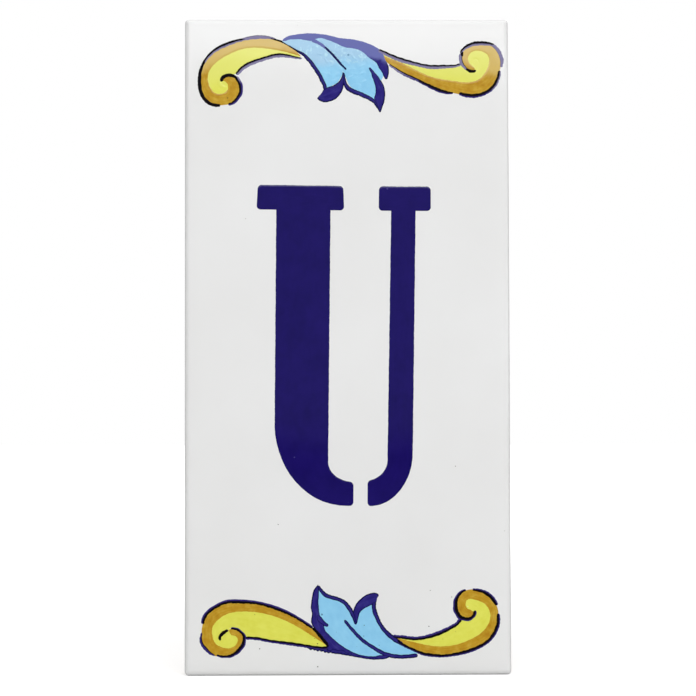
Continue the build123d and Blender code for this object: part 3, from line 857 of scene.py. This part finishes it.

# %% [markdown]
# ## Fired finishes
# Glaze and enamel are glass, so they share a sharp gloss with a faint ripple and small pits from
# gas that escaped in the kiln. Those effects are node groups. The colour of each enamel is thin in
# places and thick in others, and paler towards the tile's head, which is partly painted sheen of the
# reflected light. The bare clay at the sides and back is matt and grainy.

# %% Nodes and groups of nodes


def feed(tree, socket, source):
    """Gives an input socket a value, or joins it to the output of another node."""
    if isinstance(source, bpy.types.NodeSocket):
        tree.links.new(source, socket)
    else:
        socket.default_value = source


def add_node(tree, kind, *sources, **named):
    """A node whose settings, and inputs by name, are fed from names and whose first inputs are fed in
    order. An underscore in the name of an input stands for a space."""
    node = tree.nodes.new(kind)
    for key, value in named.items():
        if hasattr(node, key):
            setattr(node, key, value)
        else:
            feed(tree, node.inputs[key.replace("_", " ")], value)
    for socket, source in zip(node.inputs, sources):
        feed(tree, socket, source)
    return node


def new_group(name, vectors, values, gives):
    """An empty shader node group that takes vectors and values by name and gives values by name, with
    the sockets that bring its inputs and those that take its outputs."""
    group = bpy.data.node_groups.new(name, "ShaderNodeTree")
    for label in vectors:
        group.interface.new_socket(label, in_out="INPUT", socket_type="NodeSocketVector")
    for label, value in values.items():
        socket = group.interface.new_socket(label, in_out="INPUT", socket_type="NodeSocketFloat")
        socket.default_value = value
    for label in gives:
        group.interface.new_socket(label, in_out="OUTPUT", socket_type="NodeSocketFloat")
    return group, group.nodes.new("NodeGroupInput").outputs, group.nodes.new("NodeGroupOutput").inputs


print("node groups so far:", len(bpy.data.node_groups))

# %% Values out of nodes


def noise(tree, place, scale, detail, **more):
    """A cloudy value from 0 to 1."""
    node = add_node(tree, "ShaderNodeTexNoise", Vector=place, Scale=scale, Detail=detail, **more)
    return node.outputs["Fac"]


def sums(tree, operation, *sources):
    """One step of arithmetic."""
    return add_node(tree, "ShaderNodeMath", *sources, operation=operation).outputs[0]


def span(tree, value, low, high, at_low=0.0, at_high=1.0, kind="SMOOTHSTEP"):
    """A value's way from low to high, turned into a way from one number to another."""
    node = add_node(tree, "ShaderNodeMapRange", interpolation_type=kind, Value=value, From_Min=low,
                    From_Max=high, To_Min=at_low, To_Max=at_high)
    return node.outputs["Result"]


def blend(tree, factor, a, b):
    """A value between two others."""
    return add_node(tree, "ShaderNodeMix", Factor=factor, A=a, B=b).outputs["Result"]


def parts_of(tree, vector):
    """The X, Y and Z of a vector."""
    return add_node(tree, "ShaderNodeSeparateXYZ", vector).outputs


print("helpers for values:", [f.__name__ for f in (noise, sums, span, blend, parts_of)])

# %% Group for kiln gloss


def kiln_gloss_group():
    """Ripple height and roughness of fired glass: slow waves, fine orange peel, blisters and duller
    patches."""
    group, take, give = new_group(
        "Kiln gloss", ["Vector"], {"Dullness": 0.08, "Blisters": 0.0}, ["Height", "Roughness"])
    slow, fine, patch, gas = (
        noise(group, take["Vector"], scale, detail)
        for scale, detail in ((95.0, 1.0), (620.0, 2.0), (260.0, 3.0), (1150.0, 0.0)))
    ripple = sums(group, "MULTIPLY_ADD", fine, 0.16, slow)
    domes = span(group, gas, 0.55, 0.8)
    feed(group, give["Height"], sums(group, "MULTIPLY_ADD", domes, take["Blisters"], ripple))
    spread = span(group, patch, 0.0, 1.0, 0.75, 1.35, "LINEAR")
    feed(group, give["Roughness"], sums(group, "MULTIPLY", spread, take["Dullness"]))
    return group


KILN_GLOSS = kiln_gloss_group()
print(KILN_GLOSS.name, "has", len(KILN_GLOSS.nodes), "nodes")

# %% Group for kiln specks


def kiln_specks_group():
    """Mask of specks: cells over the face, a small spot round the centre of a few of them."""
    group, take, give = new_group(
        "Kiln specks", ["Vector"], {"Cells": 120.0, "Size": 0.03, "Share": 0.3}, ["Mask"])
    place = parts_of(group, take["Vector"])
    flat = add_node(group, "ShaderNodeCombineXYZ", place["X"], place["Z"]).outputs[0]
    cells = add_node(
        group, "ShaderNodeTexVoronoi", voronoi_dimensions="2D", Vector=flat, Scale=take["Cells"]).outputs
    shade = add_node(group, "ShaderNodeSeparateColor", cells["Color"]).outputs
    size = sums(group, "MULTIPLY", shade["Green"], take["Size"])
    spot = sums(group, "LESS_THAN", cells["Distance"], size)
    few = sums(group, "LESS_THAN", shade["Red"], take["Share"])
    feed(group, give["Mask"], sums(group, "MULTIPLY", spot, few))
    return group


KILN_SPECKS = kiln_specks_group()
print(KILN_SPECKS.name, "has", len(KILN_SPECKS.nodes), "nodes")

# %% Group for the wash of a brush


def brush_wash_group():
    """How thick the enamel lies: blotches over the face and streaks along the brush, as a value from 0
    to 1."""
    group, take, give = new_group(
        "Brush wash", ["Vector", "Brush"], {"Blotch Scale": 420.0, "Streaks": 0.4}, ["Load"])
    blotch = noise(group, take["Vector"], take["Blotch Scale"], 4.0, Roughness=0.6)
    drawn_out = add_node(group, "ShaderNodeMapping", Vector=take["Brush"], Scale=(0.35, 9.0, 1.0))
    streak = noise(group, drawn_out.outputs[0], 1.0, 3.0)
    feed(group, give["Load"], blend(group, take["Streaks"], blotch, streak))
    return group


BRUSH_WASH = brush_wash_group()
print(BRUSH_WASH.name, "has", len(BRUSH_WASH.nodes), "nodes")

# %% Group for thin washes and painted sheen


def thin_wash_and_sheen_group():
    """Mask of thinly painted enamel, which also carries painted sheen of the light the glaze reflects:
    above a line that bows down towards the tile's sides, with a border that wanders by a few millimetres."""
    group, take, give = new_group(
        "Thin wash and sheen", ["Vector"], {"Starts": 0.0635, "Full": 0.066, "Bow": 3.0}, ["Mask"])
    place = parts_of(group, take["Vector"])
    square = sums(group, "MULTIPLY", place["X"], place["X"])
    bowed = sums(group, "MULTIPLY_ADD", square, take["Bow"], place["Z"])
    wander = noise(group, take["Vector"], 210.0, 4.0)
    level = sums(group, "SUBTRACT", sums(group, "MULTIPLY_ADD", wander, 0.005, bowed), 0.0025)
    feed(group, give["Mask"], span(group, level, take["Starts"], take["Full"]))
    return group


THIN_WASH_AND_SHEEN = thin_wash_and_sheen_group()
print(THIN_WASH_AND_SHEEN.name, "has", len(THIN_WASH_AND_SHEEN.nodes), "nodes")

# %% What every finish needs
BUMP_REACH = 0.00004


def use_group(tree, group, place, **values):
    """The outputs of one of the groups at a place, with its own values."""
    return add_node(tree, "ShaderNodeGroup", node_tree=group, Vector=place, **values).outputs


def ramp(tree, factor, stops):
    """A colour that runs through (place, colour) stops as a value rises."""
    node = add_node(tree, "ShaderNodeValToRGB", Fac=factor)
    first, *others, last = stops
    for element, (place, colour) in zip(node.color_ramp.elements, (first, last)):
        element.position, element.color = place, (*colour, 1)
    for place, colour in others:
        node.color_ramp.elements.new(place).color = (*colour, 1)
    return node.outputs["Color"]


def mix_colour(tree, factor, a, b):
    """A colour between two others, each given as numbers or by another node."""
    node = add_node(tree, "ShaderNodeMix", data_type="RGBA", Factor=factor)
    for socket, colour in ((node.inputs[6], a), (node.inputs[7], b)):
        feed(tree, socket, (*colour, 1) if isinstance(colour, tuple) else colour)
    return node.outputs[2]


def start_finish(name):
    """A new material with its nodes, its shader and its object coordinates."""
    material = bpy.data.materials.new(name)
    material.use_nodes = True
    tree = material.node_tree
    place = tree.nodes.new("ShaderNodeTexCoord").outputs["Object"]
    return material, tree, tree.nodes["Principled BSDF"], place


def dress(tree, shader, colour, roughness, height, strength):
    """Gives a shader its colour and roughness and, through a bump, its normal."""
    bump = add_node(tree, "ShaderNodeBump", Strength=strength, Distance=BUMP_REACH, Height=height)
    for key, source in (("Base Color", colour), ("Roughness", roughness), ("Normal", bump.outputs["Normal"])):
        feed(tree, shader.inputs[key], source)


print("a bump reaches", round(BUMP_REACH / MM, 3), "mm")

# %% Enamel material
POOLED_RIM = (0.12, 0.42)
FULL_FROM = 1.1
BARE_SIDE = (0.58, 0.82)
# Noise span of pale flecks, which are painted glints of the light on blisters.
BUBBLE_GLINT_SPAN = (0.56, 0.72)


def enamel(name, stops, thin, thin_and_sheen_span, blotch, streaks, speck, speck_share, bare_colour=None,
           pooled=None, ripple=0.35, dullness=0.06, shine=0.5, blisters=0.0, bow=3.0, bubble_glints=None):
    """Enamel whose colour follows how thick it lies: the ramp's stops over the brush wash, a pooled
    colour along its edge, the thin colour towards the tile's head, which is partly painted sheen of the
    reflected light, with pale painted glints of blisters in it, fired specks, and for strokes another
    colour on the bare side. A stroke laid with a full brush, whose share across starts past 1, is never
    thin."""
    material, tree, shader, place = start_finish(name)
    brush = add_node(tree, "ShaderNodeUVMap", uv_map="Brush").outputs["UV"]
    share = parts_of(tree, brush)["Y"]
    wash = use_group(tree, BRUSH_WASH, place, Brush=brush, Blotch_Scale=blotch, Streaks=streaks)
    colour = ramp(tree, wash["Load"], stops)
    # Paler colour towards the head: partly thinner enamel, partly painted sheen of the light the glaze reflects
    # there.
    thinness_and_sheen = use_group(tree, THIN_WASH_AND_SHEEN, place, Starts=thin_and_sheen_span[0], Full=thin_and_sheen_span[1], Bow=bow)["Mask"]
    if pooled:
        rim_gap = add_node(tree, "ShaderNodeAttribute", attribute_name="Rim").outputs["Fac"]
        colour = mix_colour(tree, span(tree, rim_gap, *POOLED_RIM, 1.0, 0.0), colour, pooled)
        thinness_and_sheen = sums(tree, "MULTIPLY", thinness_and_sheen, sums(tree, "LESS_THAN", share, FULL_FROM))
    if bare_colour:
        bare = mix_colour(tree, thinness_and_sheen, bare_colour, thin)
        colour = mix_colour(tree, span(tree, share, *BARE_SIDE), colour, bare)
    else:
        colour = mix_colour(tree, thinness_and_sheen, colour, thin)
    # Pale flecks in the thin enamel at the head: painted glints of the light on blisters.
    if bubble_glints:
        glint_flecks = span(tree, noise(tree, place, 760.0, 1.0, Distortion=1.2), *BUBBLE_GLINT_SPAN)
        colour = mix_colour(tree, sums(tree, "MULTIPLY", glint_flecks, thinness_and_sheen), colour, bubble_glints)
    specks = use_group(tree, KILN_SPECKS, place, Cells=330.0, Size=0.09, Share=speck_share)["Mask"]
    gloss = use_group(tree, KILN_GLOSS, place, Dullness=dullness, Blisters=blisters)
    colour = mix_colour(tree, specks, colour, speck)
    dress(tree, shader, colour, gloss["Roughness"], gloss["Height"], ripple)
    shader.inputs["Specular IOR Level"].default_value = shine
    return material


print("a stroke turns violet where its share across goes from", BARE_SIDE[0], "to", BARE_SIDE[1])

# %% Six enamels
# thin is the paler colour at the head: thinner enamel, and painted sheen of the reflected light.
finishes = {
    yellow: enamel(
        "yellow enamel", [(0.3, (0.68, 0.68, 0.08)), (0.7, (0.76, 0.77, 0.125))],
        thin=(0.745, 0.755, 0.16), thin_and_sheen_span=(0.0595, 0.0655), blotch=380.0, streaks=0.3,
        speck=(0.45, 0.4, 0.06), speck_share=0.06),
    ochre: enamel(
        "ochre enamel",
        [(0.32, (0.42, 0.2, 0.012)), (0.5, (0.5, 0.29, 0.02)), (0.68, (0.58, 0.38, 0.045))],
        thin=(0.62, 0.44, 0.12), thin_and_sheen_span=(0.0668, 0.0704), blotch=560.0, streaks=0.35,
        speck=(0.22, 0.14, 0.02), speck_share=0.12, bow=5.5),
    # The blue's pale flecks at the head are painted glints of the light on blisters.
    blue: enamel(
        "blue enamel", [(0.3, (0.23, 0.54, 0.8)), (0.7, (0.295, 0.635, 0.87))],
        thin=(0.33, 0.56, 0.76), thin_and_sheen_span=(0.0628, 0.0665), blotch=300.0, streaks=0.25,
        speck=(0.12, 0.28, 0.45), speck_share=0.12, ripple=0.8, blisters=0.5, bubble_glints=(0.425, 0.69, 0.83)),
    violet: enamel(
        "violet enamel",
        [(0.3, (0.014, 0.01, 0.12)), (0.5, (0.026, 0.019, 0.18)), (0.75, (0.055, 0.05, 0.25))],
        thin=(0.135, 0.15, 0.4), thin_and_sheen_span=(0.0641, 0.0657), blotch=420.0, streaks=0.5,
        speck=(0.01, 0.008, 0.06), speck_share=0.1, pooled=(0.002, 0.003, 0.04), shine=0.08),
    dark: enamel(
        "dark enamel", [(0.3, (0.002, 0.001, 0.002)), (0.7, (0.005, 0.003, 0.006))],
        thin=(0.22, 0.2, 0.34), thin_and_sheen_span=(0.0605, 0.063), blotch=500.0, streaks=0.4,
        speck=(0.03, 0.02, 0.05), speck_share=0.05, bare_colour=(0.034, 0.022, 0.17), dullness=0.4, shine=0.05),
    capital: enamel(
        "indigo enamel", [(0.3, (0.007, 0.003, 0.095)), (0.7, (0.011, 0.005, 0.125))],
        thin=(0.02, 0.01, 0.15), thin_and_sheen_span=(0.0635, 0.066), blotch=240.0, streaks=0.3,
        speck=(0.05, 0.04, 0.2), speck_share=0.03, ripple=0.25),
}
for piece, material in finishes.items():
    piece.data.materials.append(material)
print("enamels:", [m.name for m in finishes.values()])

# %% Glazed clay
BARE_FROM, BARE_FULL, BARE_WANDER = -0.0019, -0.0015, 0.0022


def glazed_clay():
    """White glaze over the front and part of the sides, with a wandering edge, and bare clay below it."""
    material, tree, shader, place = start_finish("glazed clay")
    wander = noise(tree, place, 170.0, 3.0)
    level = sums(tree, "MULTIPLY_ADD", wander, BARE_WANDER, parts_of(tree, place)["Y"])
    bare = span(tree, level, BARE_FROM, BARE_FULL, kind="LINEAR")
    tone = noise(tree, place, 42.0, 2.0)
    white = ramp(tree, tone, [(0.3, (0.785, 0.785, 0.78)), (0.7, (0.81, 0.812, 0.81))])
    specks = use_group(tree, KILN_SPECKS, place, Cells=85.0, Size=0.014, Share=0.08)["Mask"]
    glaze = mix_colour(tree, specks, white, (0.25, 0.22, 0.2))
    grain = noise(tree, place, 900.0, 5.0, Roughness=0.7)
    clay = ramp(tree, grain, [(0.3, (0.5, 0.36, 0.24)), (0.5, (0.6, 0.46, 0.33)), (0.72, (0.68, 0.55, 0.42))])
    gloss = use_group(tree, KILN_GLOSS, place, Dullness=0.07)
    rough = blend(tree, bare, gloss["Roughness"], 0.85)
    height = blend(tree, bare, gloss["Height"], grain)
    dress(tree, shader, mix_colour(tree, bare, glaze, clay), rough, height, 0.25)
    return material


slab.data.materials.append(glazed_clay())
print("slab finish:", slab.data.materials[0].name)

# %% [markdown]
# ## Floor, light and camera
# The tile stands on a white sweep. One tall softbox stands over the camera: its lower edge is placed
# so that its mirror image in the glossy face covers only the top of the tile, which is where the
# real one is washed with light. Everything else in front is dim, so the dark enamel stays dark.

# %% White floor
FLOOR_REACH = 4.0


def white_floor():
    """A wide pale floor under the tile. To mirror rays it is dim, as an unlit studio would be, and to the
    camera it glows more with the distance, so that it runs out into the white surround."""
    r, floor_z = FLOOR_REACH, cad_box[0][2]
    mesh = bpy.data.meshes.new("studio_floor")
    corners = [(-r, -r, floor_z), (r, -r, floor_z), (r, r, floor_z), (-r, r, floor_z)]
    mesh.from_pydata(corners, [], [(0, 1, 2, 3)])
    floor = bpy.data.objects.new("studio_floor", mesh)
    bpy.context.scene.collection.objects.link(floor)
    material, tree, shader, place = start_finish("studio floor")
    path = tree.nodes.new("ShaderNodeLightPath").outputs
    reach = add_node(tree, "ShaderNodeVectorMath", place, operation="LENGTH").outputs["Value"]
    glow = sums(tree, "MULTIPLY", span(tree, reach, 0.1, 0.55, 0.34, 1.0), path["Is Camera Ray"])
    shader.inputs["Base Color"].default_value = (0.86, 0.86, 0.86, 1)
    shader.inputs["Roughness"].default_value = 0.9
    shader.inputs["Emission Color"].default_value = (1, 1, 1, 1)
    feed(tree, shader.inputs["Emission Strength"], glow)
    dim = add_node(tree, "ShaderNodeBsdfDiffuse", Color=(0.06, 0.06, 0.06, 1))
    mix = add_node(tree, "ShaderNodeMixShader", path["Is Glossy Ray"], shader.outputs[0], dim.outputs[0])
    feed(tree, tree.nodes["Material Output"].inputs["Surface"], mix.outputs[0])
    mesh.materials.append(material)


white_floor()
print("floor at z =", round(cad_box[0][2], 5))

# %% White surround


def white_surround(dim):
    """White to the camera, and dim to every other ray."""
    world = bpy.data.worlds.new("studio")
    bpy.context.scene.world = world
    world.use_nodes = True
    tree = world.node_tree
    unlit = tree.nodes["Background"]
    unlit.inputs["Color"].default_value = (dim, dim, dim, 1)
    white = add_node(tree, "ShaderNodeBackground", Color=(1, 1, 1, 1))
    seen = tree.nodes.new("ShaderNodeLightPath").outputs["Is Camera Ray"]
    mix = add_node(tree, "ShaderNodeMixShader", seen, unlit.outputs[0], white.outputs[0])
    feed(tree, tree.nodes["World Output"].inputs["Surface"], mix.outputs[0])


white_surround(0.18)
print("surround:", bpy.context.scene.world.name)

# %% Softboxes


def softbox(name, low_edge, high_edge, width, radiance):
    """An even panel between two edge middles, turned to face the tile. Its power is radiance x pi x area."""
    low, high = Vector(low_edge), Vector(high_edge)
    up = (high - low).normalized()
    middle = (low + high) / 2
    back = (middle - middle.project(up)).normalized()
    side = up.cross(back)
    light = bpy.data.lights.new(name, "AREA")
    light.shape = "RECTANGLE"
    light.size, light.size_y = width, (high - low).length
    light.energy = radiance * math.pi * light.size * light.size_y
    panel = bpy.data.objects.new(name, light)
    panel.matrix_world = Matrix.Translation(middle) @ Matrix((side, up, back)).transposed().to_4x4()
    panel.visible_camera = False
    bpy.context.scene.collection.objects.link(panel)


softbox("over_camera_strip", (0, -1.5, 0.34), (0, -1.38, 0.508), 2.2, 2.5)
softbox("over_camera_softbox", (0, -1.38, 0.508), (0, -0.6, 1.6), 2.2, 1.83)
softbox("overhead", (0, -0.4, 1.7), (0, 0.6, 1.7), 1.8, 1.35)
softbox("right_fill", (1.3, -0.35, 0.0), (1.3, -0.35, 0.9), 1.0, 1.0)
softbox("back_fill", (0.2, 1.6, 0.3), (0.2, 1.0, 1.5), 1.6, 1.0)

# %% Camera at the photograph's angle


def aim_camera(place, target, roll, lens):
    """A camera that looks from one point to another, turned about its own axis by a roll."""
    data = bpy.data.cameras.new("front_camera")
    data.lens, data.sensor_width = lens, 36.0
    data.clip_start, data.clip_end = 0.01, 50.0
    ahead = (Vector(target) - Vector(place)).normalized()
    right = ahead.cross(Vector((0, 0, 1))).normalized()
    up = right.cross(ahead)
    turned_right = math.cos(roll) * right + math.sin(roll) * up
    turned_up = math.cos(roll) * up - math.sin(roll) * right
    turn = Matrix((turned_right, turned_up, -ahead)).transposed().to_4x4()
    camera = bpy.data.objects.new("front_camera", data)
    camera.matrix_world = Matrix.Translation(Vector(place)) @ turn
    bpy.context.scene.collection.objects.link(camera)
    bpy.context.scene.camera = camera


aim_camera((-0.00693, -0.4558, -0.01684), (0.000123, -0.0058, -0.000595), math.radians(-0.137), 102.27)
bpy.context.scene.view_settings.view_transform = "Standard"
print("camera:", [round(v, 4) for v in bpy.context.scene.camera.location])
